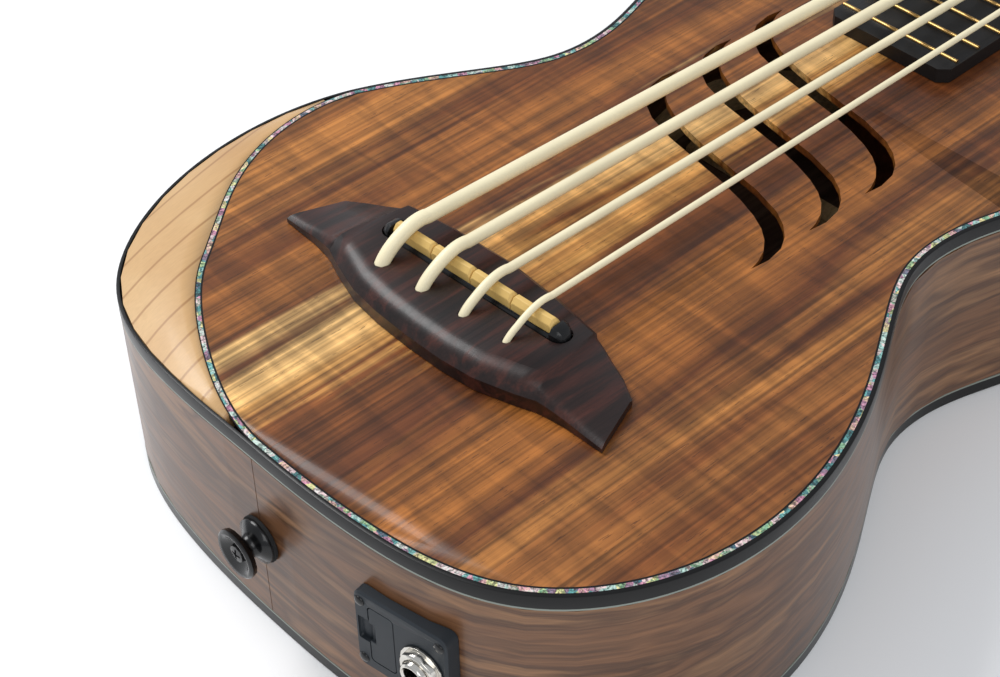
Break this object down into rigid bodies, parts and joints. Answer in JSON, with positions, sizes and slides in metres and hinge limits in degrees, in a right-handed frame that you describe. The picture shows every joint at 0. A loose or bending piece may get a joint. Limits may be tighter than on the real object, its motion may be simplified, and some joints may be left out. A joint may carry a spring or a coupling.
{
  "type": "bass ukulele",
  "caption": "Short-scale bass ukulele with a hollow wooden body, bevelled armrest, S-shaped sound slots, thick strings and a side panel with jack and cell drawer.",
  "frame": {"origin": "on the outer face of the back, on the centre line, straight under the saddle", "axes": "+Z out of the top, +Y toward the headstock, +X to the treble side"},
  "size_m": [0.2582, 0.777, 0.1021],
  "materials": {
    "koa": "satin gloss lacquer over figured grain",
    "walnut": "satin lacquer",
    "maple": "satin",
    "mahogany": "satin",
    "spruce": "bare",
    "rosewood": "oiled",
    "ebony": "oiled",
    "black_trim": "gloss",
    "abalone": "polished shell",
    "black_plastic": "satin",
    "tan_polymer": "satin",
    "cream_polymer": "smooth polyurethane",
    "bone": "polished bone",
    "steel": "plain",
    "nickel": "bright",
    "black_metal": "black anodised, glossy",
    "slate_plastic": "fine matte",
    "felt": "felt"
  },
  "bodies": {
    "body": {"top_plate": "koa", "back_plate": "walnut", "access_cover": "black_plastic", "rib_bass": "walnut", "rib_treble": "walnut", "neck_block": "mahogany", "tail_block": "mahogany", "lining_top_bass": "spruce", "lining_top_treble": "spruce", "lining_back_bass": "spruce", "lining_back_treble": "spruce", "bridge_plate": "maple", "brace_top_upper": "spruce", "brace_top_lower": "spruce", "brace_back_upper": "spruce", "brace_back_lower": "spruce", "armrest": "maple", "binding_top": "black_trim", "abalone_strip": "abalone", "binding_back": "black_trim", "bridge": "rosewood", "saddle_carrier": "black_plastic", "saddle_E": "tan_polymer", "saddle_A": "tan_polymer", "saddle_D": "tan_polymer", "saddle_G": "tan_polymer", "pickup_strip": "steel", "string_E": "cream_polymer", "string_A": "cream_polymer", "string_D": "cream_polymer", "string_G": "cream_polymer", "neck": "mahogany", "headplate": "rosewood", "nut": "bone", "fingerboard": "ebony", "truss_rod": "steel", "tuner_housing_E": "black_metal", "tuner_housing_A": "black_metal", "tuner_housing_D": "black_metal", "tuner_housing_G": "black_metal", "strap_washer": "felt", "strap_button": "black_metal", "strap_screw": "black_metal", "panel_plate": "slate_plastic", "jack_sleeve": "nickel", "jack_nut": "nickel", "preamp_box": "black_plastic"},
    "worm_E": {"tuner_button_E": "black_metal"},
    "worm_A": {"tuner_button_A": "black_metal"},
    "worm_D": {"tuner_button_D": "black_metal"},
    "worm_G": {"tuner_button_G": "black_metal"},
    "post_E": {"tuner_post_E": "black_metal"},
    "post_A": {"tuner_post_A": "black_metal"},
    "post_D": {"tuner_post_D": "black_metal"},
    "post_G": {"tuner_post_G": "black_metal"},
    "drawer": {"battery_drawer": "slate_plastic", "coin_cell_1": "steel", "coin_cell_2": "steel"}
  },
  "joints": [
    {"name": "button_E_turn", "type": "hinge", "parent": "body", "child": "worm_E", "pos_m": [-0.0255, 0.58339, 0.05125], "axis": [-1, 0, 0], "continuous": true},
    {"name": "button_A_turn", "type": "hinge", "parent": "body", "child": "worm_A", "pos_m": [-0.0215, 0.64139, 0.03997], "axis": [-1, 0, 0], "continuous": true},
    {"name": "button_D_turn", "type": "hinge", "parent": "body", "child": "worm_D", "pos_m": [0.0215, 0.64139, 0.03997], "axis": [1, 0, 0], "continuous": true},
    {"name": "button_G_turn", "type": "hinge", "parent": "body", "child": "worm_G", "pos_m": [0.0255, 0.58339, 0.05125], "axis": [1, 0, 0], "continuous": true},
    {"name": "post_E_turn", "type": "hinge", "parent": "body", "child": "post_E", "pos_m": [-0.0255, 0.576, 0.07245], "axis": [0, 0.1908, 0.9816], "continuous": true},
    {"name": "post_A_turn", "type": "hinge", "parent": "body", "child": "post_A", "pos_m": [-0.0215, 0.634, 0.06117], "axis": [0, 0.1908, 0.9816], "continuous": true},
    {"name": "post_D_turn", "type": "hinge", "parent": "body", "child": "post_D", "pos_m": [0.0215, 0.634, 0.06117], "axis": [0, 0.1908, 0.9816], "continuous": true},
    {"name": "post_G_turn", "type": "hinge", "parent": "body", "child": "post_G", "pos_m": [0.0255, 0.576, 0.07245], "axis": [0, 0.1908, 0.9816], "continuous": true},
    {"name": "drawer_slide", "type": "slide", "parent": "body", "child": "drawer", "axis": [0.1699, -0.9855, 0], "range_m": [0, 0.021]}
  ],
  "couplings": [
    {"joint": "post_E_turn", "follows": "button_E_turn", "ratio": 0.071429},
    {"joint": "post_A_turn", "follows": "button_A_turn", "ratio": 0.071429},
    {"joint": "post_D_turn", "follows": "button_D_turn", "ratio": 0.071429},
    {"joint": "post_G_turn", "follows": "button_G_turn", "ratio": 0.071429}
  ]
}
